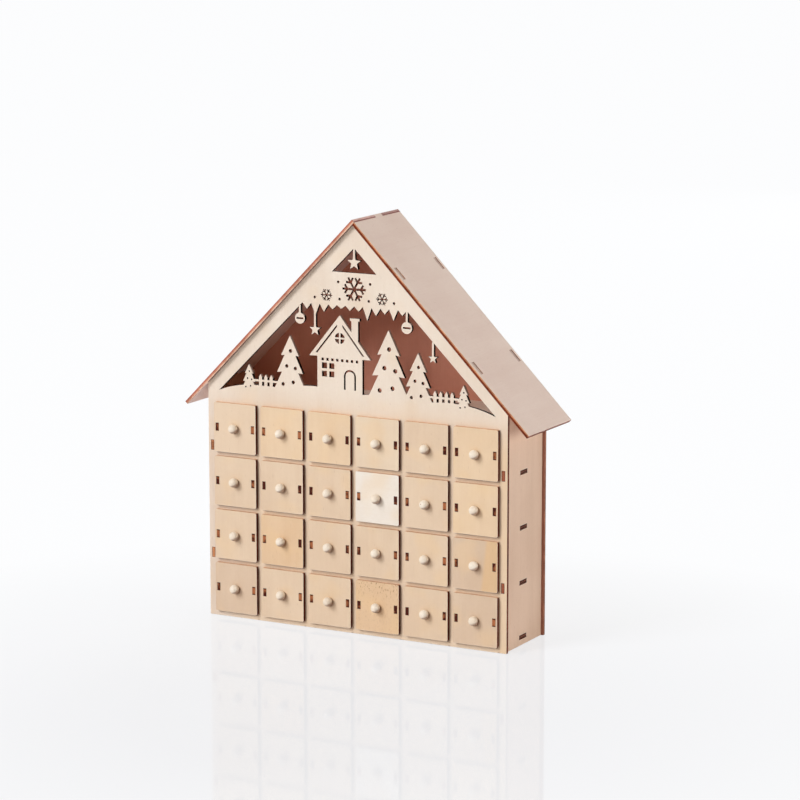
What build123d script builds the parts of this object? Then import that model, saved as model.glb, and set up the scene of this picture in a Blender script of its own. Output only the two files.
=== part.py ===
from build123d import *

import os
from math import cos, radians, sin, tan

# A house-shaped advent calendar of laser-cut plywood. A gabled case of tabbed sheets holds rows of
# drawers, and each drawer is pulled by a small turned knob. The origin is under the middle of the
# whole object, on the surface it stands on. X runs to the right, Y to the back and Z up, and lengths
# are in millimetres.

# Sheet stock and fits
ply = 2.4                      # thickness of every sheet
play = 0.1                     # play on each side of a tab in its slot
running_gap = 0.3              # gap between a drawer and what it slides in
overrun = 1.0                  # how far a cut or a joined shape passes the line that it meets

# House
house_width = 231.0            # across the front panel
house_depth = 58.6             # from the front panel's face to the back panel's face
shoulder_height = 164.0        # where the panels' upright edges meet the roof's underside
roof_pitch_degrees = 45.5
eave_overhang = 17.0           # roof beyond the panels' edges, level
front_overhang = 3.0           # roof ahead of the front panel
rear_overhang = 3.4            # roof behind the back panel
wall_inset = 1.8               # from the panels' edges to the walls' outer faces
ridge_finger = 9.6             # width of the finger that locks the two roof sheets at the ridge
ridge_finger_setback = 3.0     # how far the finger sits behind the house's middle

# Tabs that join the case
gable_tab = 10.0               # along the slope, through the roof
wall_tab = 7.0                 # upright, through the front and back panels
board_tab = 10.6               # along the depth, through the walls
board_tab_lead = 1.2           # how far these tabs sit ahead of the house's middle
back_tab = 10.0                # across, through the back panel
gable_tab_shares = (0.294, 0.796)    # of the way from the ridge to the shoulder
wall_tab_shares = (0.272, 0.737)     # of the shoulder's height
gable_slot_spare = 0.8         # room behind a gable tab in its roof slot
board_slot_spare = 0.6         # room under a board's tab in its wall slot

# Grid of drawers
columns = 6
rows = 4
grid_margin = 3.9              # from the front panel's edge to the first column
column_gap = 4.0               # between drawer fronts, across
row_gap = 3.1                  # between drawer fronts, upright
base_height = 7.0              # top of the base board
attic_drop = 5.8               # from the shoulders down to the attic floor's top

# Drawer
front_drop = 3.3               # from a board's top down to the lower edge of the drawer front on it
front_corner = 1.2             # corner radius of a drawer front
tab_edge = 1.25                # sheet left between a drawer's tab slot and the sheet's edge
drawer_tab = 5.5               # height of the tabs at a drawer's front and back
bottom_tab = 8.0               # length of the tabs along a drawer's bottom
drawer_clear = 2.2             # from a drawer's back end to the back panel

# Knob
knob_diameter = 6.4
knob_standoff = 2.7            # from the drawer front's face to the ball's centre
peg_diameter = 2.0

# Gable window
window_side = 8.9              # frame beside the window's lower corners
window_sill = 1.9              # from the attic floor's top up to the window
window_peak = 16.0             # from the gable's peak down to the window's peak

# Pierced picture in the gable window. Places across are shares of the window's half width, and
# heights and sizes are shares of its rise.
drift_shares = ((-1.0, -0.44, 0.055), (-0.62, 0.04, 0.085), (-0.14, 0.56, 0.07), (0.36, 1.0, 0.06))
fence_shares = ((-0.76, -0.53, (-0.69, -0.65, -0.61)), (0.53, 0.76, (0.575, 0.615, 0.655, 0.695)))
picket_half_share = 0.0115
picket_shoulder_share = 0.11
picket_top_share = 0.13
rail_shares = ((0.04, 0.054), (0.08, 0.094))
fir_shares = ((-0.775, 0.19), (-0.47, 0.4), (0.245, 0.49), (0.455, 0.36), (0.775, 0.18))
band_shares = (0.625, 0.84)
icicle_shares = (0.04, 0.075, 0.05, 0.03, 0.022, 0.03, 0.03, 0.085, 0.05, 0.035, 0.07, 0.035)
snowflake_shares = ((0.0, 0.735, 0.085), (-0.2, 0.685, 0.042), (0.2, 0.685, 0.042))
speck_shares = ((-0.115, 0.775), (0.115, 0.775), (-0.105, 0.665), (0.105, 0.665), (0.285, 0.665),
                (-0.285, 0.665))
speck_radius_share = 0.009
hanging_star_shares = ((0.0, 0.905, 0.05, 1.0), (-0.285, 0.455, 0.042, 0.64), (0.56, 0.335, 0.034, 0.44))
bauble_shares = ((-0.395, 0.52, 0.036, 0.605), (0.375, 0.515, 0.038, 0.63))
string_half_share = 0.0065
star_points = 5
star_waist_share = 0.42        # of a star's radius
bauble_line_shares = (0.16, 0.72)    # half thickness and half length, of a bauble's radius

# One fir, as shares of its height: half widths and heights up its right-hand side, then its dots
fir_outline_shares = ((0.34, 0.02), (0.15, 0.4), (0.24, 0.39), (0.1, 0.68), (0.165, 0.67), (0.0, 1.0))
fir_dot_shares = ((-0.13, 0.2), (0.06, 0.24), (0.1, 0.47), (-0.06, 0.5), (0.01, 0.75))
fir_dot_radius_share = 0.03

# Cottage, as shares of the window's rise, from the cottage's middle line and the window's base
cottage_place_share = -0.105
cottage_wall_shares = (0.165, 0.335)           # half width, height
cottage_roof_shares = (0.225, 0.285, 0.56)     # half width, eave, peak
roof_line_shares = ((0.164, 0.307), (0.02, 0.483), (0.02, 0.5), (0.178, 0.307))
chimney_shares = (0.11, 0.024, 0.37, 0.53)     # place, half width, foot, top
chimney_cap_shares = (0.035, 0.017)            # half width, thickness
pane_shares = (-0.086, 0.2, 0.037, 0.054)      # place, height, size, spacing of the four panes
door_shares = (0.074, 0.044, 0.168)            # place, half width, height of its straight sides
door_line_share = 0.012
door_foot_share = 0.08
round_light_shares = (0.411, 0.036, 0.0055)    # height, radius, half thickness of its bars
dentil_shares = (0.0175, 0.036, 0.268)         # size, spacing, height
dentil_count = 8
snowflake_arms = 6
snowflake_arm_shares = (0.17, 0.58, 0.4)       # width, place and length of side branches, of its radius
snowflake_branch_degrees = 58.0

# Sizes that follow from the ones above
roof_pitch = radians(roof_pitch_degrees)
house_half = house_width / 2
gable_peak = shoulder_height + house_half * tan(roof_pitch)
ridge_height = gable_peak + ply / cos(roof_pitch)
slope_length = (house_half + eave_overhang) / cos(roof_pitch)
gable_length = house_half / cos(roof_pitch)
ridge_land = ply * max(1, 1 - cos(2 * roof_pitch)) / sin(2 * roof_pitch) + play
wall_outer = house_half - wall_inset
wall_inner = wall_outer - ply
wall_top = shoulder_height + wall_inset * tan(roof_pitch) - play
slot_width = ply + 2 * play

column_pitch = (house_width - 2 * grid_margin) / columns
row_pitch = (shoulder_height - attic_drop - base_height) / rows
column_places = [(column - (columns - 1) / 2) * column_pitch for column in range(columns)]
divider_places = [place + column_pitch / 2 for place in column_places[:-1]]
board_tops = [base_height + row * row_pitch for row in range(rows + 1)]

front_width = column_pitch - column_gap
front_height = row_pitch - row_gap
front_middle = front_height / 2 - front_drop
box_half = front_width / 2 - tab_edge
box_height = front_height - 2 * (front_drop + running_gap)
box_length = house_depth - ply - drawer_clear

front_y = (ply + knob_standoff + knob_diameter / 2 - house_depth - rear_overhang) / 2
back_y = front_y + house_depth
inside_front_y = front_y + ply
inside_back_y = back_y - ply
middle_y = (front_y + back_y) / 2
board_tab_y = middle_y - board_tab_lead
drawer_face_y = front_y - ply
drawer_end_y = front_y + box_length
drawer_back_y = drawer_end_y - tab_edge - ply

window_half = house_half - window_side
window_base = board_tops[-1] + window_sill
window_rise = gable_peak - window_peak - window_base


def upright(y):
    """The plane across the house at depth y: its x is X, its y is Z, and it faces the front."""
    return Plane(origin=(0, y, 0), x_dir=(1, 0, 0), z_dir=(0, -1, 0))


def slope(side):
    """The roof's outer face: its x runs down from the ridge, its y is the depth times the side."""
    down = (side * cos(roof_pitch), 0, -sin(roof_pitch))
    out = (side * sin(roof_pitch), 0, cos(roof_pitch))
    return Plane(origin=(0, 0, ridge_height), x_dir=down, z_dir=out)


def on_slope(side, down, depth):
    """A point of the house's section, a way down the slope and a depth under its outer face."""
    across = down * cos(roof_pitch) - depth * sin(roof_pitch)
    drop = down * sin(roof_pitch) + depth * cos(roof_pitch)
    return (side * across, ridge_height - drop)


def block(low, high, mode=Mode.ADD):
    """A rectangle of the open sketch, between two corners."""
    with Locations(((low[0] + high[0]) / 2, (low[1] + high[1]) / 2)):
        Rectangle(high[0] - low[0], high[1] - low[1], mode=mode)


def slots(places, width, height):
    """Slots of the open sketch that take tabs of this width and height."""
    with Locations(places):
        Rectangle(width + 2 * play, height + 2 * play, mode=Mode.SUBTRACT)


def shape(points, mode=Mode.ADD):
    """A straight-sided outline of the open sketch."""
    Polygon(*points, align=None, mode=mode)


def gable_outline():
    """The house's outline with its gable tabs and its slots for the walls' tabs."""
    shape([(-house_half, 0), (house_half, 0), (house_half, shoulder_height), (0, gable_peak),
           (-house_half, shoulder_height)])
    for side in (-1, 1):
        for share in gable_tab_shares:
            high = share * gable_length - gable_tab / 2
            low = high + gable_tab
            root = ply + overrun
            shape([on_slope(side, high, 0), on_slope(side, low, 0), on_slope(side, low, root),
                   on_slope(side, high, root)])
        wall_middle = side * (wall_outer + wall_inner) / 2
        slots([(wall_middle, share * shoulder_height) for share in wall_tab_shares], ply, wall_tab)


def spot(across, up):
    """A place in the gable window, from shares of its half width and its rise."""
    return (across * window_half, window_base + up * window_rise)


def star(across, up, radius):
    """A five-pointed star, point up."""
    middle = spot(across, up)
    points = []
    for corner in range(2 * star_points):
        reach = radius * window_rise * (star_waist_share if corner % 2 else 1)
        turn = radians(180 * corner / star_points)
        points.append((middle[0] + reach * sin(turn), middle[1] + reach * cos(turn)))
    shape(points)


def hanging_string(across, low, high):
    """A thin strip that a star or a bauble hangs from."""
    half = string_half_share * window_rise
    low_x, low_z = spot(across, low)
    block((low_x - half, low_z), (low_x + half, spot(across, high)[1]))


def snow_drifts():
    """Overlapping mounds along the window's base."""
    for left, right, height in drift_shares:
        with BuildLine() as mound:
            ThreePointArc(spot(left, 0), spot((left + right) / 2, height), spot(right, 0))
            Polyline(spot(right, 0), (right * window_half, window_base - overrun),
                     (left * window_half, window_base - overrun), spot(left, 0))
        make_face(mound.edges())


def fences():
    """Pointed pickets on two rails that run from fir to fir."""
    half = picket_half_share * window_rise
    neck = picket_shoulder_share * window_rise
    top = picket_top_share * window_rise
    outline = [(-half, -overrun), (half, -overrun), (half, neck), (0, top), (-half, neck)]
    for start, end, pickets in fence_shares:
        with Locations([spot(place, 0) for place in pickets]):
            Polygon(*outline, align=None)
        for low, high in rail_shares:
            block(spot(start, low), spot(end, high))


def firs():
    """Tiered fir trees with round holes in them."""
    for place, height_share in fir_shares:
        foot = spot(place, 0)
        height = height_share * window_rise
        right = [(foot[0] + across * height, foot[1] + up * height) for across, up in fir_outline_shares]
        left = [(2 * foot[0] - x, z) for x, z in reversed(right[:-1])]
        shape(right + left)
        dots = [(foot[0] + across * height, foot[1] + up * height) for across, up in fir_dot_shares]
        with Locations(dots):
            Circle(fir_dot_radius_share * height, mode=Mode.SUBTRACT)


def cottage_spot(across, up):
    """A place on the cottage, as shares of the window's rise."""
    return (cottage_place_share * window_half + across * window_rise, window_base + up * window_rise)


def arched_door(half, foot, mode=Mode.ADD):
    """An arched door of the open sketch, this far each side of its middle and up from its foot."""
    place, _, height = door_shares
    with BuildLine() as outline:
        Polyline(cottage_spot(place + half, height), cottage_spot(place + half, foot),
                 cottage_spot(place - half, foot), cottage_spot(place - half, height))
        ThreePointArc(cottage_spot(place - half, height), cottage_spot(place, height + half),
                      cottage_spot(place + half, height))
    make_face(outline.edges(), mode=mode)


def cottage():
    """A cottage with a chimney, a door, a window of four panes and a round light in its gable."""
    half, top = cottage_wall_shares
    block(cottage_spot(-half, 0), cottage_spot(half, top))
    eave_half, eave, peak = cottage_roof_shares
    shape([cottage_spot(-eave_half, eave), cottage_spot(eave_half, eave), cottage_spot(0, peak)])
    place, half, foot, top = chimney_shares
    block(cottage_spot(place - half, foot), cottage_spot(place + half, top))
    half, thick = chimney_cap_shares
    block(cottage_spot(place - half, top), cottage_spot(place + half, top + thick))

    for side in (-1, 1):
        shape([cottage_spot(side * across, up) for across, up in roof_line_shares], Mode.SUBTRACT)
    size, spacing, height = dentil_shares
    with Locations([cottage_spot((number - (dentil_count - 1) / 2) * spacing, height)
                    for number in range(dentil_count)]):
        Rectangle(size * window_rise, size * window_rise, mode=Mode.SUBTRACT)
    place, height, size, spacing = pane_shares
    with Locations(cottage_spot(place, height)):
        with GridLocations(spacing * window_rise, spacing * window_rise, 2, 2):
            Rectangle(size * window_rise, size * window_rise, mode=Mode.SUBTRACT)

    half = door_shares[1]
    arched_door(half, door_foot_share, Mode.SUBTRACT)
    arched_door(half - door_line_share, 0)
    height, radius, bar = round_light_shares
    with Locations(cottage_spot(0, height)):
        Circle(radius * window_rise, mode=Mode.SUBTRACT)
        for length, thickness in ((radius, bar), (bar, radius)):
            Rectangle(2 * length * window_rise, 2 * thickness * window_rise)


def sky_band():
    """A band across the window, fringed with icicles and pierced with snowflakes."""
    low, high = band_shares
    lap = overrun / window_half
    shape([spot(low - 1 - lap, low), spot(1 - low + lap, low), spot(1 - high + lap, high),
           spot(high - 1 - lap, high)])
    step = 2 * (1 - low) / len(icicle_shares)
    for number, length in enumerate(icicle_shares):
        left = low - 1 + number * step
        shape([spot(left, low + lap), spot(left + step, low + lap), spot(left + step, low),
               spot(left + step / 2, low - length), spot(left, low)])
    for across, up, radius_share in snowflake_shares:
        snowflake(spot(across, up), radius_share * window_rise)
    with Locations([spot(across, up) for across, up in speck_shares]):
        Circle(speck_radius_share * window_rise, mode=Mode.SUBTRACT)


def snowflake(middle, radius):
    """Six slots that meet in the middle, each with two side branches."""
    width_share, branch_share, length_share = snowflake_arm_shares
    width = width_share * radius
    with Locations(middle):
        with PolarLocations(0, snowflake_arms):
            Rectangle(radius, width, align=(Align.MIN, Align.CENTER), mode=Mode.SUBTRACT)
        with PolarLocations(branch_share * radius, snowflake_arms):
            for side in (-1, 1):
                Rectangle(length_share * radius, width, rotation=side * snowflake_branch_degrees,
                          align=(Align.MIN, Align.CENTER), mode=Mode.SUBTRACT)


def ornaments():
    """Stars and baubles that hang on strings."""
    for across, up, radius, top in hanging_star_shares:
        hanging_string(across, up, top)
        star(across, up, radius)
    line_half, line_reach = bauble_line_shares
    for across, up, radius_share, top in bauble_shares:
        hanging_string(across, up, top)
        middle = spot(across, up)
        radius = radius_share * window_rise
        with Locations(middle):
            Circle(radius)
            Rectangle(2 * line_reach * radius, 2 * line_half * radius, mode=Mode.SUBTRACT)


def picture():
    """The pale fretwork that fills the gable window, joined to its frame all round."""
    snow_drifts()
    fences()
    cottage()
    firs()
    sky_band()
    ornaments()


def save(piece, name):
    """Label a finished piece and write it as one file."""
    piece.label = name
    export_step(piece, f"parts/{name}.step")


def board(row):
    """A level board: end tabs through the walls, back tabs, and laps where dividers cross it."""
    top = board_tops[row]
    with BuildPart() as level_board:
        with BuildSketch(Plane.XY.offset(top)):
            block((-wall_inner, inside_front_y), (wall_inner, inside_back_y))
            block((-wall_outer, board_tab_y - board_tab / 2), (wall_outer, board_tab_y + board_tab / 2))
            for place in (column_places[1], column_places[-2]):
                block((place - back_tab / 2, inside_back_y - overrun), (place + back_tab / 2, back_y))
            if 0 < row < rows:
                for place in divider_places:
                    block((place - slot_width / 2, middle_y - play),
                          (place + slot_width / 2, inside_back_y + overrun), Mode.SUBTRACT)
        extrude(amount=-ply)
    return level_board.part


def wall(left_x):
    """An upright wall, from its left-hand face, with tabs fore and aft and slots for the boards."""
    with BuildPart() as side_wall:
        with BuildSketch(Plane.YZ.offset(left_x)):
            block((inside_front_y, 0), (inside_back_y, wall_top))
            for share in wall_tab_shares:
                tab_middle = share * shoulder_height
                block((front_y, tab_middle - wall_tab / 2), (back_y, tab_middle + wall_tab / 2))
            slot_height = ply + board_slot_spare
            slots([(board_tab_y, top - slot_height / 2) for top in board_tops], board_tab, slot_height)
        extrude(amount=ply)
    return side_wall.part


def roof(side):
    """A roof sheet. The left one runs to the ridge, and the right one locks into it by a finger."""
    front_edge = front_y - front_overhang
    rear_edge = back_y + rear_overhang
    start = 0 if side < 0 else ridge_land
    low_y, high_y = sorted((side * front_edge, side * rear_edge))
    finger_y = side * (middle_y + ridge_finger_setback)
    with BuildPart() as roof_sheet:
        with BuildSketch(slope(side)):
            block((start, low_y), (slope_length, high_y))
            if side < 0:
                block((-overrun, finger_y - ridge_finger / 2 - play),
                      (ridge_land, finger_y + ridge_finger / 2 + play), Mode.SUBTRACT)
            else:
                block((0, finger_y - ridge_finger / 2), (start + overrun, finger_y + ridge_finger / 2))
            slot_depth = ply + gable_slot_spare
            for tab_y in (front_y, inside_back_y):
                slots([(share * gable_length, side * (tab_y + slot_depth / 2)) for share in gable_tab_shares],
                      gable_tab, slot_depth)
        extrude(amount=-ply)
    return roof_sheet.part


def drawer_side(left_x):
    """A drawer's side, from its left-hand face: a front tab, a slot for the back, a foot notch."""
    low = running_gap
    foot_middle = (front_y + drawer_back_y) / 2
    with BuildPart() as tray_side:
        with BuildSketch(Plane.YZ.offset(left_x)):
            block((front_y, low), (drawer_end_y, low + box_height))
            block((drawer_face_y, front_middle - drawer_tab / 2),
                  (front_y + overrun, front_middle + drawer_tab / 2))
            slots([(drawer_back_y + ply / 2, front_middle)], ply, drawer_tab)
            block((foot_middle - bottom_tab / 2 - play, low - overrun),
                  (foot_middle + bottom_tab / 2 + play, low + ply + play), Mode.SUBTRACT)
        extrude(amount=ply)
    return tray_side.part


os.makedirs("parts", exist_ok=True)

# Front panel: the gabled sheet with the pierced window and an opening for each drawer
with BuildPart() as front_panel:
    with BuildSketch(upright(front_y)):
        gable_outline()
        shape([spot(-1, 0), spot(1, 0), spot(0, 1)], Mode.SUBTRACT)
        picture()
        with Locations([(x, top + front_middle) for x in column_places for top in board_tops[:-1]]):
            Rectangle(2 * (box_half + running_gap), box_height + 2 * running_gap, mode=Mode.SUBTRACT)
    extrude(amount=-ply)
save(front_panel.part, "front_panel")

# Back panel: the same outline, whole, with slots for the boards' tabs
with BuildPart() as back_panel:
    with BuildSketch(upright(inside_back_y)):
        gable_outline()
        slots([(x, top - ply / 2) for x in (column_places[1], column_places[-2]) for top in board_tops],
              back_tab, ply)
    extrude(amount=-ply)
save(back_panel.part, "back_panel")

# Walls, roof and boards
save(wall(-wall_outer), "side_left")
save(wall(wall_inner), "side_right")
save(roof(-1), "roof_left")
save(roof(1), "roof_right")
board_names = ["base_board"] + [f"shelf_{row}" for row in range(1, rows)] + ["attic_floor"]
for row, name in enumerate(board_names):
    save(board(row), name)

# Dividers between the columns, lapped with the shelves from the front
with BuildPart() as dividers:
    for place in divider_places:
        with BuildSketch(Plane.YZ.offset(place - ply / 2)):
            block((inside_front_y, board_tops[0]), (inside_back_y, board_tops[-1] - ply))
            for top in board_tops[1:-1]:
                block((inside_front_y - overrun, top - ply - play), (middle_y + play, top + play),
                      Mode.SUBTRACT)
        extrude(amount=ply)
save(dividers.part, "dividers")

# One drawer, over the middle of its board
with BuildPart() as drawer_front:
    with BuildSketch(upright(front_y)):
        with Locations((0, front_middle)):
            RectangleRounded(front_width, front_height, front_corner)
            Circle(peg_diameter / 2 + play, mode=Mode.SUBTRACT)
        slots([(side * (box_half - ply / 2), front_middle) for side in (-1, 1)], ply, drawer_tab)
    extrude(amount=ply)

with BuildPart() as drawer_back:
    with BuildSketch(upright(drawer_back_y)):
        block((ply - box_half, running_gap), (box_half - ply, running_gap + box_height))
        block((-box_half, front_middle - drawer_tab / 2), (box_half, front_middle + drawer_tab / 2))
    extrude(amount=-ply)

with BuildPart() as drawer_bottom:
    with BuildSketch(Plane.XY.offset(running_gap)):
        block((ply - box_half, front_y), (box_half - ply, drawer_back_y))
        foot_y = (front_y + drawer_back_y) / 2
        block((-box_half, foot_y - bottom_tab / 2), (box_half, foot_y + bottom_tab / 2))
    extrude(amount=ply)

with BuildPart() as knob:
    with Locations((0, drawer_face_y - knob_standoff, front_middle)):
        Sphere(knob_diameter / 2)
    split(bisect_by=upright(drawer_face_y), keep=Keep.TOP)
    with BuildSketch(upright(drawer_face_y)):
        with Locations((0, front_middle)):
            Circle(peg_diameter / 2)
    extrude(amount=-ply)

# Every drawer, numbered along the rows from the top left
tray = [drawer_front.part, drawer_side(-box_half), drawer_side(box_half - ply), drawer_back.part,
        drawer_bottom.part]
drawer_places = [(x, top) for top in reversed(board_tops[:-1]) for x in column_places]
for number, (x, top) in enumerate(drawer_places, start=1):
    place = Location((x, 0, top))
    save(Compound(children=[piece.moved(place) for piece in tray]), f"drawer_{number:02d}")
    save(knob.part.moved(place), f"knob_{number:02d}")
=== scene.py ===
import math
import random

import bpy
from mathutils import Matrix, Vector


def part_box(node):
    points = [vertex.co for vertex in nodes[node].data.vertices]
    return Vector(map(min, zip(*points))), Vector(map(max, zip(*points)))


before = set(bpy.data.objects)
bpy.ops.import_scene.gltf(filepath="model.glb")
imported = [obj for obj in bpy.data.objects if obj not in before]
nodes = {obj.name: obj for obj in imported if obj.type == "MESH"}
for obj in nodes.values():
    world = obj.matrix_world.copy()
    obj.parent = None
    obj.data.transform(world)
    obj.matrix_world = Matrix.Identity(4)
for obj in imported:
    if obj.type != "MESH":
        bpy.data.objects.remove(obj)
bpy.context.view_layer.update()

# The looks of a house-shaped advent calendar of laser-cut plywood. Every piece is a CAD node. Each
# sheet gets a wood for its faces and a burnt, layered wood for its cut edges. Lengths are in metres.

# Sizes that the boxes of the nodes give
panel_low, panel_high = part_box("front_panel")
panel_face = panel_low.y
ply = panel_high.y - panel_low.y
house_half = panel_high.x
first_low, first_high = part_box("drawer_01")
second_low, second_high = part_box("drawer_02")
below_low, below_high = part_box("drawer_07")
first_middle = (first_low + first_high) / 2
column_pitch = second_low.x - first_low.x
row_pitch = first_low.z - below_low.z
front_half_width = (first_high.x - first_low.x) / 2
front_half_height = (first_high.z - first_low.z) / 2
drawer_face = first_low.y
drawer_end = first_high.y
knob_low, knob_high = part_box("knob_01")
knob_radius = (knob_high.x - knob_low.x) / 2
knob_middle = (knob_low + knob_high) / 2
knob_middle.y = knob_low.y + knob_radius

# Sizes that the source gives
roof_pitch = math.radians(45.5)
tab_edge = 0.00125
drawer_tab = 0.0055
bottom_tab = 0.008
box_drop = 0.0036
box_half = front_half_width - tab_edge
tray_back = drawer_end - tab_edge - ply
foot_middle = (panel_face + tray_back) / 2
tray_floor = box_drop - front_half_height

# Sizes of marks on the wood
probe = 0.0004                 # from a face into its sheet, and the softness of a mark's end
line_width = 0.0012            # of the painted shadow line beside and below a drawer
# Reaches of the painted highlight along cut edges; a drawer front's reach serves its scorch too
highlight_reach = 0.0006
wall_highlight_reach = 0.0012
drawer_rim_reach = 0.0008
scorch_reach = 0.0009
outline_reach = 0.0007
edge_round = 0.00018
grain_depth = 0.00004
knob_grain_depth = 0.00003
seam_start = 0.0046            # of the second tone, from the middle of its drawer
seam_end = 0.0082
seam_slant = -0.11
torn_start = 0.004             # of the torn grain, up from the middle of its drawer
torn_end = 0.016
ridge_char_start = 0.004       # along the ridge
ridge_char_end = 0.011
panel_honey = 0.15             # shares of honey-coloured patches
drawer_honey = 0.3

axis_x = Vector((1, 0, 0))
axis_y = Vector((0, 1, 0))
axis_z = Vector((0, 0, 1))
roof_axes = {
    "roof_left": Vector((-math.sin(roof_pitch), 0, math.cos(roof_pitch))),
    "roof_right": Vector((math.sin(roof_pitch), 0, math.cos(roof_pitch))),
}


def tone(red, green, blue):
    """A colour from its display values, as the linear colour that a shader takes."""
    parts = []
    for part in (red, green, blue):
        share = part / 255
        parts.append(share / 12.92 if share <= 0.04045 else ((share + 0.055) / 1.055) ** 2.4)
    return (*parts, 1)


# Colours of bare wood, each light and dark, of scorch marks on it, and of painted shade, shadow and
# highlight
panel_tones = (tone(241, 228, 210), tone(231, 214, 193))
wall_tones = (tone(232, 202, 177), tone(220, 188, 162))
roof_tones = (tone(241, 222, 208), tone(232, 209, 195))
eave_tones = (tone(252, 230, 221), tone(244, 219, 208))
# The back panel's inner face is redder and darker than the other woods: partly its wood, partly painted
# shade of the attic
attic_tones = (tone(226, 158, 134), tone(212, 143, 119))
inner_tones = (tone(222, 178, 148), tone(204, 156, 126))
knob_tones = (tone(253, 245, 228), tone(236, 219, 195))
# Painted shade on the knob's lower right side, away from the key light
knob_shade_tone = tone(128, 76, 40)
# Painted shadow of each knob on its drawer front
knob_shadow_tone = tone(108, 54, 16)
drawer_tones = {
    "cream": (tone(234, 211, 182), tone(224, 198, 168)),
    "honey": (tone(239, 214, 180), tone(230, 201, 165)),
    "tan": (tone(227, 203, 176), tone(216, 189, 160)),
    "amber": (tone(234, 204, 168), tone(225, 191, 151)),
    "white": (tone(246, 239, 226), tone(237, 225, 208)),
    "ivory": (tone(238, 218, 190), tone(229, 206, 177)),
    "gold": (tone(236, 200, 150), tone(226, 186, 134)),
}
plain_drawer_tones = ("cream", "cream", "honey")
odd_drawers = {4: "ivory", 10: "white", 14: "amber", 18: "tan", 19: "tan", 22: "amber", 24: "tan"}
two_tone_drawer = 18
rough_drawer = 22
honey_tone = tone(240, 206, 156)
# Painted warm shade on the front panel between the drawers
warm_shade_tone = tone(196, 134, 92)
scorch_tone = tone(206, 144, 92)
# Painted highlight along cut edges
highlight_tone = tone(253, 240, 222)
# Painted shade and shadow: under the roof's front overhang, on the back panel's strips beside the walls,
# and in lines beside and below each drawer
shade_tone = tone(84, 48, 36)
fleck_tone = tone(150, 100, 66)

# Plies of a cut edge: the outer veneer, the core, the inner veneer, and char on all of them
black_plies = (tone(110, 54, 36), tone(132, 72, 50), tone(110, 54, 36), tone(32, 13, 9))
dark_plies = (tone(96, 42, 27), tone(120, 55, 35), tone(96, 42, 27), tone(52, 19, 12))
slot_plies = (tone(84, 46, 33), tone(128, 80, 60), tone(84, 46, 33), tone(34, 14, 10))
brown_plies = (tone(186, 116, 80), tone(208, 138, 96), tone(186, 116, 80), tone(80, 36, 22))
left_tab_plies = (tone(212, 144, 100), tone(220, 154, 108), tone(212, 144, 100), tone(84, 40, 26))
right_tab_plies = (tone(160, 90, 66), tone(176, 106, 78), tone(160, 90, 66), tone(36, 14, 10))
tray_tab_plies = (tone(186, 120, 80), tone(172, 104, 68), tone(186, 120, 80), tone(74, 31, 21))
back_plies = (tone(116, 64, 50), tone(208, 146, 116), tone(170, 110, 86), tone(78, 42, 30))
# Lighter plies for the drawer fronts' top edges, whose other edges take dark_plies: painted light where
# light falls on the top edges
lit_top_plies = (tone(232, 190, 154), tone(236, 202, 170), tone(232, 190, 154), tone(206, 150, 114))
pale_plies = (tone(214, 190, 176), tone(206, 180, 165), tone(214, 190, 176), tone(88, 44, 36))
left_roof_plies = (tone(190, 112, 92), tone(214, 148, 120), tone(246, 206, 178), tone(150, 84, 62))
right_roof_plies = (tone(226, 158, 112), tone(130, 56, 32), tone(132, 60, 36), tone(78, 28, 14))
eave_plies = (tone(176, 120, 104), tone(136, 82, 68), tone(128, 74, 60), tone(84, 46, 38))
ridge_plies = (tone(244, 210, 200), tone(238, 198, 188), tone(168, 114, 106), tone(124, 78, 72))


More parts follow.
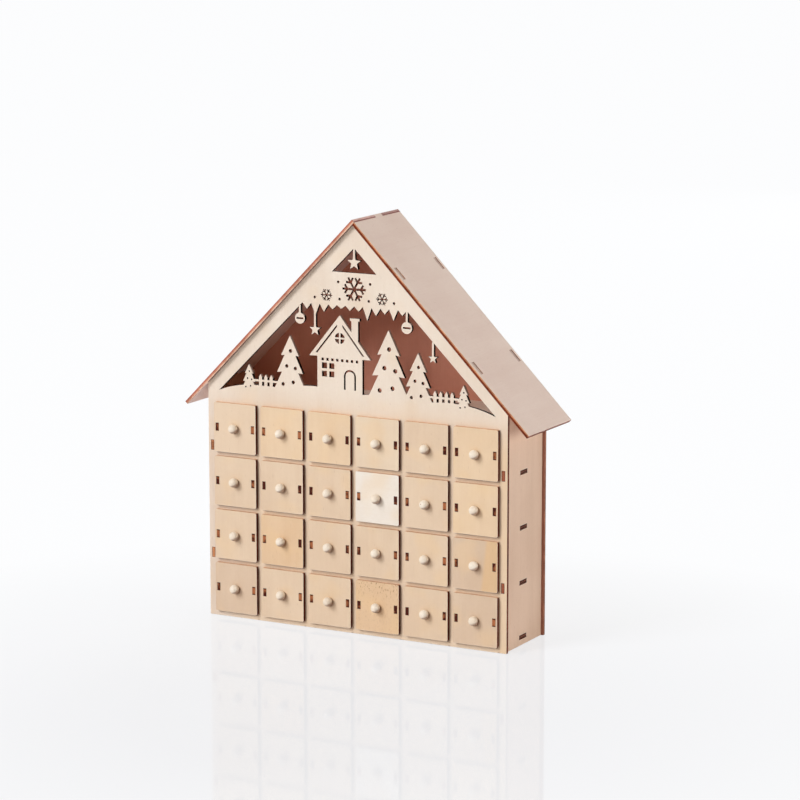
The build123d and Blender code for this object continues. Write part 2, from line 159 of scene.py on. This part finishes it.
class Shader:
    """A material whose node tree is built by short calls. A socket or a plain value goes in alike."""

    def __init__(self, name):
        self.material = bpy.data.materials.new(name)
        self.material.use_nodes = True
        self.tree = self.material.node_tree
        self.surface = self.tree.nodes["Principled BSDF"]
        self.places = self.add("ShaderNodeTexCoord").outputs["Object"]
        split = self.add("ShaderNodeSeparateXYZ", {"Vector": self.places})
        self.x, self.y, self.z = split.outputs

    def add(self, kind, values=None, **settings):
        node = self.tree.nodes.new(kind)
        for key, setting in settings.items():
            setattr(node, key, setting)
        for key, value in (values or {}).items():
            self.put(node.inputs[key], value)
        return node

    def put(self, socket, value):
        if isinstance(value, bpy.types.NodeSocket):
            self.tree.links.new(value, socket)
        else:
            socket.default_value = value

    def math(self, operation, *values):
        return self.add("ShaderNodeMath", dict(enumerate(values)), operation=operation).outputs[0]

    def vector(self, operation, *values):
        return self.add("ShaderNodeVectorMath", dict(enumerate(values)), operation=operation).outputs

    def ramp(self, value, start, end, low=0.0, high=1.0):
        values = {"Value": value, "From Min": start, "From Max": end, "To Min": low, "To Max": high}
        return self.add("ShaderNodeMapRange", values, interpolation_type="SMOOTHSTEP").outputs[0]

    def mix(self, share, first, second):
        return self.add("ShaderNodeMix", {0: share, 6: first, 7: second}, data_type="RGBA").outputs[2]

    def noise(self, scale, detail=2.0, rough=0.5, shift=(0.0, 0.0, 0.0)):
        moved = self.vector("ADD", self.places, shift)[0]
        scaled = self.vector("MULTIPLY", moved, scale)[0]
        values = {"Vector": scaled, "Scale": 1.0, "Detail": detail, "Roughness": rough}
        return self.add("ShaderNodeTexNoise", values).outputs[0]

    def near_edge(self, radius, way=None):
        """How near a point is to a sharp edge of its piece, from 0 to about 1. A way picks the edges
        that lie along it from their face."""
        bevel = self.add("ShaderNodeBevel", {"Radius": radius}, samples=6)
        normal = self.add("ShaderNodeNewGeometry").outputs["True Normal"]
        same = self.vector("DOT_PRODUCT", bevel.outputs[0], normal)["Value"]
        near = self.ramp(same, 0.995, 0.72)
        if way is None:
            return near
        lean = self.vector("DOT_PRODUCT", bevel.outputs[0], way)["Value"]
        return self.math("MULTIPLY", near, self.ramp(lean, 0.02, 0.25))

    def finish(self, colour, roughness, height, depth):
        """Colour, roughness and relief of the surface, with its edges a little rounded."""
        bevel = self.add("ShaderNodeBevel", {"Radius": edge_round}, samples=4)
        values = {"Strength": 0.6, "Distance": depth, "Height": height, "Normal": bevel.outputs[0]}
        bump = self.add("ShaderNodeBump", values)
        self.put(self.surface.inputs["Base Color"], colour)
        self.put(self.surface.inputs["Roughness"], roughness)
        self.put(self.surface.inputs["Normal"], bump.outputs[0])
        self.surface.inputs["Specular IOR Level"].default_value = 0.3
        return self.material


def stretched(across, along, axis):
    """Noise scales: one across the grain, and a smaller one along it."""
    return tuple(along * abs(part) + across * (1 - abs(part)) for part in axis)


def cell_place(shader, value, middle, pitch):
    """A coordinate counted from the middle of the drawer that the point is in."""
    return shader.math("WRAP", shader.math("SUBTRACT", value, middle), pitch / 2, -pitch / 2)


def wood(shader, tones, grain, shift, honey=0.0):
    """Pale wood: broad patches, faint bands, fine grain and short dark flecks, and a share of
    honey-coloured patches. Gives colour and relief."""
    patch = shader.noise((22, 22, 22), 2.0, 0.5, shift)
    bands = shader.noise(stretched(120, 7, grain), 3.0, 0.55, shift)
    fine = shader.noise(stretched(1300, 60, grain), 3.0, 0.6, shift)
    mottle = shader.noise((420, 420, 420), 3.0, 0.6, shift)
    specks = shader.noise(stretched(1000, 260, grain), 1.0, 0.4, shift)
    share = shader.math("MULTIPLY", patch, 0.65)
    share = shader.math("MULTIPLY_ADD", bands, 0.35, share)
    share = shader.math("MULTIPLY_ADD", fine, 0.2, share)
    share = shader.math("MULTIPLY_ADD", mottle, 0.2, share)
    colour = shader.mix(shader.ramp(share, 0.4, 1.0), *tones)
    blush = shader.noise((48, 48, 48), 1.0, 0.5, (-shift[1], shift[2], shift[0]))
    colour = shader.mix(shader.ramp(blush, 0.5, 0.75, 0.0, honey), colour, honey_tone)
    fleck = shader.math("MULTIPLY", shader.ramp(specks, 0.7, 0.8), 0.14)
    return shader.mix(fleck, colour, fleck_tone), fine


def draw_shift(seed):
    """A shift of the noise, so that no two woods are alike."""
    draw = random.Random(seed)
    return tuple(draw.uniform(-1, 1) for _ in range(3))


def scorched(shader, colour, amount, shift):
    """The colour, with a warm burn along cut edges that comes and goes."""
    smoke_and_shadow = shader.noise((130, 130, 130), 2.0, 0.5, shift)
    burn = shader.ramp(smoke_and_shadow, 0.35, 0.7, 0.1, amount)
    burn = shader.math("MULTIPLY", burn, shader.near_edge(scorch_reach))
    return shader.mix(burn, colour, scorch_tone)


def sanded(shader, colour, relief):
    """The finish of bare wood, told by its relief."""
    return shader.finish(colour, shader.ramp(relief, 0.2, 0.8, 0.56, 0.7), relief, grain_depth)


def face_wood(name, tones, grain, seed, scorch=0.4):
    """The face of a sheet, a little scorched along its cut edges."""
    shader = Shader(name)
    shift = draw_shift(seed)
    colour, relief = wood(shader, tones, grain, shift)
    return sanded(shader, scorched(shader, colour, scorch, shift), relief)


def from_middle(shader):
    """Distance from the middle of the house, to either side."""
    return shader.math("ABSOLUTE", shader.x)


def shadow_line(shader, away, half, along, along_half):
    """A thin painted shadow line beside a drawer's front, as long as its side."""
    line = shader.ramp(away, half - line_width, half, 0.0, 0.5)
    line = shader.math("MULTIPLY", line, shader.ramp(away, half + line_width, half + probe))
    length = shader.ramp(shader.math("ABSOLUTE", along), along_half + probe, along_half - probe)
    return shader.math("MULTIPLY", line, length)


def shaded_round_drawers(shader, colour):
    """The colour of the front panel round its drawers, with a warm painted shade below the top of the
    drawers. It is warmer to the right, and thin painted shadow lines lie beside and below each drawer."""
    # Painted warm shade below the top of the drawers
    lower = shader.ramp(shader.z, first_high.z + row_pitch / 2, first_high.z - row_pitch / 2)
    colour = shader.mix(shader.math("MULTIPLY", lower, 0.12), colour, warm_shade_tone)
    warmth = shader.ramp(shader.x, first_low.x, first_high.x, 0.0, 0.3)
    margin = shader.ramp(shader.x, -first_low.x - ply, house_half - ply, 0.0, 0.2)
    warmth = shader.math("MULTIPLY", lower, shader.math("ADD", warmth, margin))
    colour = shader.mix(warmth, colour, honey_tone)
    # Painted shadow lines beside and below each drawer, only under the gable and inside the grid
    across = cell_place(shader, shader.x, first_middle.x, column_pitch)
    drop = shader.math("MULTIPLY", cell_place(shader, shader.z, first_middle.z, row_pitch), -1.0)
    beside = shadow_line(shader, across, front_half_width, drop, front_half_height)
    below = shadow_line(shader, drop, front_half_height, across, front_half_width)
    smoke_and_shadow = shader.math("MAXIMUM", beside, below)
    under_gable = shader.ramp(shader.z, first_high.z + probe, first_high.z - probe)
    smoke_and_shadow = shader.math("MULTIPLY", smoke_and_shadow, under_gable)
    grid_end = line_width - first_low.x
    in_grid = shader.ramp(from_middle(shader), grid_end + probe, grid_end)
    smoke_and_shadow = shader.math("MULTIPLY", smoke_and_shadow, in_grid)
    return shader.mix(smoke_and_shadow, colour, shade_tone)


def highlighted_wood(name, tones, grain, seed, reach):
    """A face whose cut edges have a thin painted highlight."""
    shader = Shader(name)
    is_front = name == "front_panel_wood"
    colour, relief = wood(shader, tones, grain, draw_shift(seed), panel_honey if is_front else 0.0)
    if is_front:
        colour = shaded_round_drawers(shader, colour)
    # Painted highlight along the cut edges
    rim = shader.math("MULTIPLY", shader.near_edge(reach), 0.6)
    return sanded(shader, shader.mix(rim, colour, highlight_tone), relief)


def shaded_wood(name, tones, grain, seed, shade_of):
    """A face with painted shade, by a share that shade_of gives for each point."""
    shader = Shader(name)
    colour, relief = wood(shader, tones, grain, draw_shift(seed))
    return sanded(shader, shader.mix(shade_of(shader), colour, shade_tone), relief)


def drawer_front_wood(number, tones, grain, seed):
    """A drawer front's face, scorched along two edges and with a painted highlight along the other two,
    and a painted shadow round the knob, set a little right of and below it. One has a second tone, and one
    is rougher than the rest."""
    shader = Shader(f"drawer_{number:02d}_wood")
    shift = draw_shift(seed)
    colour, relief = wood(shader, tones, grain, shift, drawer_honey)
    across = cell_place(shader, shader.x, first_middle.x, column_pitch)
    up = cell_place(shader, shader.z, first_middle.z, row_pitch)
    if number == two_tone_drawer:
        lean = shader.math("MULTIPLY_ADD", up, seam_slant, across)
        second, _ = wood(shader, drawer_tones["gold"], grain, draw_shift(seed + 100))
        colour = shader.mix(shader.ramp(lean, seam_start, seam_end, 0.0, 0.65), colour, second)
    if number == rough_drawer:
        scraps = shader.noise((900, 900, 500), 3.0, 0.7, shift)
        high_up = shader.ramp(up, torn_start, torn_end, 0.2, 0.95)
        torn = shader.math("MULTIPLY", shader.ramp(scraps, 0.54, 0.7), high_up)
        colour = shader.mix(torn, colour, fleck_tone)
    smoke_and_shadow = shader.noise((130, 130, 130), 2.0, 0.5, shift)
    burn = shader.ramp(smoke_and_shadow, 0.35, 0.7, 0.1, 0.6)
    burn = shader.math("MULTIPLY", burn, shader.near_edge(drawer_rim_reach, (-0.6, 0, 0.8)))
    colour = shader.mix(burn, colour, scorch_tone)
    # Painted shadow of the knob on the front: a ring round it, set a little right of and below it
    beside = cell_place(shader, shader.x, knob_middle.x + knob_radius * 0.1, column_pitch)
    below = cell_place(shader, shader.z, knob_middle.z - knob_radius * 0.3, row_pitch)
    from_knob = shader.math("MULTIPLY_ADD", beside, beside, shader.math("MULTIPLY", below, below))
    from_knob = shader.math("SQRT", from_knob)
    knob_shadow = shader.ramp(from_knob, knob_radius * 0.7, knob_radius * 1.25, 0.65, 0.0)
    colour = shader.mix(knob_shadow, colour, knob_shadow_tone)
    # Painted highlight along the right and bottom edges
    rim = shader.math("MULTIPLY", shader.near_edge(drawer_rim_reach, (0.8, 0, -0.6)), 0.9)
    return sanded(shader, shader.mix(rim, colour, highlight_tone), relief)


def edge_wood(name, depth_of, along, plies, outline=0.3, blotch=(70, 70, 70), char_of=None, burnt=0.5,
              way=None):
    """A cut edge: burnt plies, told by how far out a point is from the middle of its sheet. Blotches of
    char lie on it, and char_of can add more in one place. A way keeps the dark outline to one side."""
    outer, core, inner, char = plies
    shader = Shader(name)
    depth = depth_of(shader)
    lines = shader.noise(stretched(2600, 60, along), 2.0, 0.6)
    smoke_and_shadow = shader.noise(blotch, 3.0, 0.6)
    colour = shader.mix(shader.ramp(depth, 0.24, 0.42), core, outer)
    colour = shader.mix(shader.ramp(depth, -0.24, -0.42), colour, inner)
    burn = shader.math("MULTIPLY", shader.ramp(smoke_and_shadow, 0.38, 0.66), burnt)
    burn = shader.math("MULTIPLY_ADD", shader.ramp(lines, 0.4, 0.75), 0.25, burn)
    burn = shader.math("MULTIPLY_ADD", shader.near_edge(outline_reach, way), outline, burn)
    if char_of:
        burn = shader.math("ADD", burn, char_of(shader))
    colour = shader.mix(burn, colour, char)
    material = shader.finish(colour, shader.ramp(lines, 0.2, 0.8, 0.6, 0.8), lines, grain_depth)
    shader.surface.inputs["Specular IOR Level"].default_value = 0.1
    return material


def sheet_depth(axis, middle):
    """Distance out from a sheet's middle plane, as a share of half its thickness."""
    def depth_of(shader):
        along = shader.vector("DOT_PRODUCT", shader.places, tuple(axis))["Value"]
        return shader.math("DIVIDE", shader.math("SUBTRACT", along, middle), ply / 2)
    return depth_of


def divider_depth(shader):
    away = shader.math("ABSOLUTE", cell_place(shader, shader.x, 0.0, column_pitch))
    return shader.math("DIVIDE", away, ply / 2)


def tray_side_depth(shader):
    across = shader.math("ABSOLUTE", cell_place(shader, shader.x, first_middle.x, column_pitch))
    away = shader.math("ABSOLUTE", shader.math("SUBTRACT", across, box_half - ply / 2))
    return shader.math("DIVIDE", away, ply / 2)


def tray_end_depth(shader):
    front = shader.math("ABSOLUTE", shader.math("SUBTRACT", shader.y, drawer_face + ply / 2))
    back = shader.math("ABSOLUTE", shader.math("SUBTRACT", shader.y, tray_back + ply / 2))
    return shader.math("DIVIDE", shader.math("MINIMUM", front, back), ply / 2)


def tray_floor_depth(shader):
    up = cell_place(shader, shader.z, first_middle.z, row_pitch)
    away = shader.math("ABSOLUTE", shader.math("SUBTRACT", up, tray_floor + ply / 2))
    return shader.math("DIVIDE", away, ply / 2)


def dress(name, materials, choose):
    """Give a CAD node its materials. choose tells a face's material from a point under it and its
    normal."""
    mesh = nodes[name].data
    mesh.materials.clear()
    for material in materials:
        mesh.materials.append(material)
    for polygon in mesh.polygons:
        inside = polygon.center - polygon.normal * probe
        polygon.material_index = choose(inside, polygon.normal)


def dress_sheet(name, axis, inward, faces, edge, special_edges=()):
    """A flat sheet. Its faces are the outer and the inner one, which looks along inward. A special edge
    is a material and the ways that the edge looks along."""
    def choose(inside, normal):
        if abs(normal.dot(axis)) > 0.9:
            return 1 if normal.dot(inward) > 0.5 else 0
        for slot, (_, ways) in enumerate(special_edges, start=3):
            if any(normal.dot(way) > 0.95 for way in ways):
                return slot
        return 2
    dress(name, [*faces, edge, *(material for material, _ in special_edges)], choose)


def middle_along(name, axis):
    """Where a flat sheet's middle plane is along its axis."""
    corners = [vertex.co.dot(axis) for vertex in nodes[name].data.vertices]
    return (min(corners) + max(corners)) / 2


# Case
roof_ways = list(roof_axes.values())
sideways = [axis_x, -axis_x]
lengthways = [axis_y, -axis_y]
dots = (40, 420, 40)

# Each sheet's axis, its grain, the way that its inner face looks, the tones of its outer and inner face,
# the plies of its edges and of its tabs, and the ways that its tabs look
case_sheets = {
    "front_panel": (axis_y, axis_z, axis_y, panel_tones, panel_tones,
                    black_plies, pale_plies, roof_ways),
    "back_panel": (axis_y, axis_z, -axis_y, wall_tones, attic_tones, back_plies, pale_plies, roof_ways),
    "side_left": (axis_x, axis_z, axis_x, wall_tones, inner_tones,
                  brown_plies, left_tab_plies, lengthways),
    "side_right": (axis_x, axis_z, -axis_x, wall_tones, inner_tones,
                   brown_plies, right_tab_plies, lengthways),
    "base_board": (axis_z, axis_x, axis_z, wall_tones, inner_tones, brown_plies, slot_plies, sideways),
    "shelf_1": (axis_z, axis_x, axis_z, inner_tones, inner_tones, brown_plies, slot_plies, sideways),
    "shelf_2": (axis_z, axis_x, axis_z, inner_tones, inner_tones, brown_plies, slot_plies, sideways),
    "shelf_3": (axis_z, axis_x, axis_z, inner_tones, inner_tones, brown_plies, slot_plies, sideways),
    "attic_floor": (axis_z, axis_x, axis_z, inner_tones, panel_tones,
                    brown_plies, slot_plies, sideways),
}
wall_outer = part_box("side_right")[1].x


def back_corner_shade(shader):
    """Painted shade on the strips of the back panel that stand out beside the walls, in the corner beside
    each wall.
    """
    return shader.ramp(from_middle(shader), wall_outer - ply, wall_outer, 0.0, 0.6)


def cut_char(shader):
    """The black of the front panel's openings, which its outer edges don't have."""
    return shader.ramp(from_middle(shader), house_half - probe, house_half - 2 * probe)


for seed, (name, looks) in enumerate(case_sheets.items(), start=2):
    axis, grain, inward, outer_tones, inward_tones, plies, tab_plies, tab_ways = looks
    depth_of = sheet_depth(axis, middle_along(name, axis))
    if axis == axis_z:
        outer_wood = face_wood(f"{name}_wood", outer_tones, grain, seed)
    else:
        reach = wall_highlight_reach if axis == axis_x else highlight_reach
        outer_wood = highlighted_wood(f"{name}_wood", outer_tones, grain, seed, reach)
    if name == "back_panel":
        inward_wood = shaded_wood(f"{name}_inner_wood", inward_tones, grain, seed + 100, back_corner_shade)
    else:
        inward_wood = face_wood(f"{name}_inner_wood", inward_tones, grain, seed + 100)
    char_of = cut_char if name == "front_panel" else None
    edge = edge_wood(f"{name}_edge", depth_of, axis, plies, char_of=char_of)
    if axis == axis_x:
        tab = edge_wood(f"{name}_tab", depth_of, axis, tab_plies, 0.9)
    elif axis == axis_y:
        # The front and back panels' tab ends keep their dark outline to the rear edge: painted shade of
        # the gap behind each tab in its slot in the roof
        tab = edge_wood(f"{name}_tab", depth_of, axis, tab_plies, 1.0, burnt=0.1, way=(0, 0.9, -0.4))
    else:
        tab = edge_wood(f"{name}_tab", depth_of, axis, tab_plies, 0.8, dots)
    dress_sheet(name, axis, inward, [outer_wood, inward_wood], edge, [(tab, tab_ways)])
divider_wood = face_wood("divider_wood", inner_tones, axis_z, 1)
divider_edge = edge_wood("divider_edge", divider_depth, axis_x, brown_plies)
dress_sheet("dividers", axis_x, axis_x, [divider_wood, divider_wood], divider_edge)

# Roof
roof_plies = {"roof_left": left_roof_plies, "roof_right": right_roof_plies}


def overhang_shade(shader):
    """Painted shade under the roof's overhang, in front of the front panel."""
    near = shader.ramp(shader.y, panel_face + ply, panel_face - ply / 2, 0.0, 0.85)
    return shader.math("MULTIPLY", near, shader.ramp(from_middle(shader), house_half, house_half - ply))


def ridge_char(shader):
    """The ridge's darker rear half."""
    return shader.ramp(shader.y, ridge_char_start, ridge_char_end, 0.0, 0.4)


for seed, (name, axis) in enumerate(roof_axes.items(), start=20):
    depth_of = sheet_depth(axis, middle_along(name, axis))
    faces = [
        face_wood(f"{name}_wood", roof_tones, axis_y, seed),
        shaded_wood(f"{name}_inner_wood", eave_tones, axis_y, seed + 100, overhang_shade),
    ]
    edge = edge_wood(f"{name}_edge", depth_of, axis, roof_plies[name], 0.1)
    ridge = edge_wood(f"{name}_ridge", depth_of, axis, ridge_plies, 0.1, char_of=ridge_char, burnt=0.3)
    eave = edge_wood(f"{name}_eave", depth_of, axis, eave_plies, 0.3)
    upslope = Vector((math.copysign(axis.z, -axis.x), 0, abs(axis.x)))
    dress_sheet(name, axis, -axis, faces, edge, [(ridge, [upslope]), (eave, [-upslope])])

# Drawers
tray_wood = face_wood("tray_wood", drawer_tones["cream"], axis_y, 30)


def tab_tips(shader):
    """The burnt tips of the tabs in a drawer front."""
    up = shader.math("ABSOLUTE", cell_place(shader, shader.z, first_middle.z, row_pitch))
    return shader.ramp(up, drawer_tab * 0.3, drawer_tab * 0.48)


tray_edges = [
    edge_wood("tray_side_edge", tray_side_depth, axis_x, brown_plies),
    edge_wood("tray_end_edge", tray_end_depth, axis_y, dark_plies),
    edge_wood("tray_floor_edge", tray_floor_depth, axis_z, brown_plies),
    edge_wood("tray_tab", tray_side_depth, axis_x, tray_tab_plies, 0.1, (110, 110, 110), tab_tips, 1.5),
    # The fronts' top edges, lighter than their other edges: painted light
    edge_wood("tray_top_edge", tray_end_depth, axis_y, lit_top_plies),
]
draw = random.Random(865)


def tray_axis(place):
    """The number of the axis that a drawer's sheet faces, at a point in it. The point is counted from
    the drawer's middle."""
    across = abs(place.x)
    in_tab = abs(place.z) < drawer_tab / 2
    if place.y < panel_face:
        return 0 if in_tab and box_half - ply < across < box_half else 1
    if across > box_half - ply:
        if tray_back < place.y < tray_back + ply and in_tab:
            return 1
        if abs(place.y - foot_middle) < bottom_tab / 2 and place.z < tray_floor + ply:
            return 2
        return 0
    return 1 if place.y > tray_back else 2


def dress_drawer(number, front_wood):
    name = f"drawer_{number:02d}"
    low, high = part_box(name)
    middle = Vector(((low.x + high.x) / 2, 0, (low.z + high.z) / 2))

    def choose(inside, normal):
        place = inside - middle
        axis = tray_axis(place)
        in_front = place.y < panel_face
        if abs(normal[axis]) > 0.9:
            return 0 if in_front and normal.y < -0.9 else 1
        if in_front and axis == 0:
            return 5
        # Painted light: a front's top edges take lighter plies than its other edges
        if in_front and normal.z > 0.7:
            return 6
        return 2 + axis
    dress(name, [front_wood, tray_wood, *tray_edges], choose)


for number in range(1, 25):
    kind = odd_drawers.get(number, draw.choice(plain_drawer_tones))
    grain = axis_x if kind == "white" else axis_z
    dress_drawer(number, drawer_front_wood(number, drawer_tones[kind], grain, 40 + number))

# Knobs
shader = Shader("knob_wood")
colour, relief = wood(shader, knob_tones, axis_y, draw_shift(80))
spots = shader.noise((330, 330, 330), 1.0, 0.5, draw_shift(81))
colour = shader.mix(shader.ramp(spots, 0.74, 0.8, 0.0, 0.8), colour, fleck_tone)
knob_across = cell_place(shader, shader.x, knob_middle.x, column_pitch)
knob_up = cell_place(shader, shader.z, knob_middle.z, row_pitch)
knob_out = shader.math("SUBTRACT", shader.y, knob_middle.y)
# Painted shade: the knob is darker brown towards its lower right side, away from the key light, by a ramp
# across the ball
shade_side = shader.math("MULTIPLY", knob_up, -0.9)
shade_side = shader.math("MULTIPLY_ADD", knob_across, 0.3, shade_side)
shade_side = shader.math("MULTIPLY_ADD", knob_out, 0.3, shade_side)
knob_shade = shader.ramp(shade_side, knob_radius * -0.05, knob_radius * 0.6, 0.0, 0.7)
colour = shader.mix(knob_shade, colour, knob_shade_tone)
knob_material = shader.finish(colour, 0.45, relief, knob_grain_depth)
for number in range(1, 25):
    dress(f"knob_{number:02d}", [knob_material], lambda inside, normal: 0)

# Camera, from a fit to the photograph's corners
camera_place = Vector((1.03708, -1.89044, 0.5586))
camera_turn = math.radians(28.27)
camera_tilt = math.radians(10.53)
photo_focal_share = 3216.46 / 800
sensor = 36.0
camera_data = bpy.data.cameras.new("camera")
camera_data.sensor_width = sensor
camera_data.lens = photo_focal_share * sensor
camera_data.clip_start = 0.05
camera_data.clip_end = 60
camera = bpy.data.objects.new("camera", camera_data)
bpy.context.scene.collection.objects.link(camera)
level_share = math.cos(camera_tilt)
looking = Vector((-math.sin(camera_turn) * level_share, math.cos(camera_turn) * level_share,
                  -math.sin(camera_tilt)))
camera.location = camera_place
camera.rotation_mode = "QUATERNION"
camera.rotation_quaternion = looking.to_track_quat("-Z", "Y")
bpy.context.scene.camera = camera

# Floor: white to the camera, with the object's shadow and a faint reflection
floor_half = 15.0
floor_drop = 0.0002
floor_corners = [
    (-floor_half, -floor_half, 0),
    (floor_half, -floor_half, 0),
    (floor_half, floor_half, 0),
    (-floor_half, floor_half, 0),
]
floor_mesh = bpy.data.meshes.new("floor")
floor_mesh.from_pydata(floor_corners, [], [(0, 1, 2, 3)])
floor = bpy.data.objects.new("floor", floor_mesh)
bpy.context.scene.collection.objects.link(floor)
floor.location.z = -floor_drop
floor_white_near = 0.72
floor_white_far = 0.985
near_reach = 0.12
far_reach = 0.48
shadow_middle = (0.08, -0.2, 0)
floor_gloss = 0.09


def seen_share(tree):
    """1 for what the camera, a gloss or a clear thing sees, 0 for light on the object."""
    path = tree.nodes.new("ShaderNodeLightPath")
    share = path.outputs["Is Camera Ray"]
    for name in ("Is Glossy Ray", "Is Transmission Ray"):
        either = tree.nodes.new("ShaderNodeMath")
        either.operation = "MAXIMUM"
        tree.links.new(share, either.inputs[0])
        tree.links.new(path.outputs[name], either.inputs[1])
        share = either.outputs[0]
    return share


def ranged(tree, share, low, high, start=0.0, end=1.0):
    """A share, spread over a range."""
    node = tree.nodes.new("ShaderNodeMapRange")
    node.inputs["From Min"].default_value = start
    node.inputs["From Max"].default_value = end
    node.inputs["To Min"].default_value = low
    node.inputs["To Max"].default_value = high
    tree.links.new(share, node.inputs["Value"])
    return node.outputs[0]


def mixed(tree, share, first, second):
    """Two surfaces, mixed by a socket or a plain share."""
    node = tree.nodes.new("ShaderNodeMixShader")
    if isinstance(share, bpy.types.NodeSocket):
        tree.links.new(share, node.inputs[0])
    else:
        node.inputs[0].default_value = share
    tree.links.new(first.outputs[0], node.inputs[1])
    tree.links.new(second.outputs[0], node.inputs[2])
    return node


floor_material = bpy.data.materials.new("floor")
floor_material.use_nodes = True
floor_tree = floor_material.node_tree
floor_tree.nodes.clear()
output = floor_tree.nodes.new("ShaderNodeOutputMaterial")
matt = floor_tree.nodes.new("ShaderNodeBsdfDiffuse")
matt.inputs["Color"].default_value = (0.79, 0.81, 0.86, 1)
white = floor_tree.nodes.new("ShaderNodeEmission")
white.inputs["Color"].default_value = (0.985, 0.99, 1, 1)
gloss = floor_tree.nodes.new("ShaderNodeBsdfGlossy")
gloss.inputs["Color"].default_value = (1, 1, 1, 1)
gloss.inputs["Roughness"].default_value = 0.05
away = floor_tree.nodes.new("ShaderNodeVectorMath")
away.operation = "DISTANCE"
away.inputs[1].default_value = shadow_middle
floor_tree.links.new(floor_tree.nodes.new("ShaderNodeTexCoord").outputs["Object"], away.inputs[0])
whiteness = ranged(floor_tree, away.outputs["Value"], floor_white_near, floor_white_far,
                   near_reach, far_reach)
shown = floor_tree.nodes.new("ShaderNodeMath")
shown.operation = "MULTIPLY"
floor_tree.links.new(whiteness, shown.inputs[0])
floor_tree.links.new(seen_share(floor_tree), shown.inputs[1])
pale = mixed(floor_tree, shown.outputs[0], matt, white)
both = mixed(floor_tree, floor_gloss, pale, gloss)
floor_tree.links.new(both.outputs[0], output.inputs["Surface"])
floor_mesh.materials.append(floor_material)

# Light: dim and warm all round, a softbox at the upper left, and weaker ones in front, at the right,
# above and behind
around_level = 0.1
lamp_target = Vector((0, 0, 0.15))
world = bpy.data.worlds.new("studio")
bpy.context.scene.world = world
world.use_nodes = True
world_tree = world.node_tree
background = world_tree.nodes["Background"]
warm = world_tree.nodes.new("ShaderNodeMix")
warm.data_type = "RGBA"
warm.inputs[6].default_value = (1, 0.68, 0.48, 1)
warm.inputs[7].default_value = (1, 1, 1, 1)
world_tree.links.new(seen_share(world_tree), warm.inputs[0])
world_tree.links.new(warm.outputs[2], background.inputs["Color"])
around = ranged(world_tree, seen_share(world_tree), around_level, 1.0)
world_tree.links.new(around, background.inputs["Strength"])


def lamp(name, way, reach, width, height, level, colour=(1, 1, 1)):
    """A softbox. way leads to it from the house, and level is what it adds on a sheet facing it."""
    place = lamp_target + Vector(way).normalized() * reach
    data = bpy.data.lights.new(name, "AREA")
    data.shape = "RECTANGLE"
    data.size = width
    data.size_y = height
    data.color = colour
    data.energy = level * math.pi ** 2 * reach ** 2
    lamp_object = bpy.data.objects.new(name, data)
    bpy.context.scene.collection.objects.link(lamp_object)
    lamp_object.visible_camera = False
    lamp_object.location = place
    lamp_object.rotation_mode = "QUATERNION"
    lamp_object.rotation_quaternion = (lamp_target - place).to_track_quat("-Z", "Y")


lamp("key", (-0.57, -1.0, 0.72), 4.0, 1.7, 2.4, 0.76, (0.98, 1, 1.04))
lamp("front", (0.35, -1.0, 0.15), 3.0, 1.6, 1.6, 0.1, (1, 0.78, 0.6))
lamp("fill", (1.0, 0.12, 0.1), 2.6, 1.15, 1.15, 0.45)
lamp("top", (0.0, 0.1, 1.0), 2.5, 1.5, 1.5, 0.16)
lamp("rear", (0.0, 1.0, 0.1), 2.5, 1.1, 1.1, 0.55)

bpy.context.scene.view_settings.view_transform = "Standard"
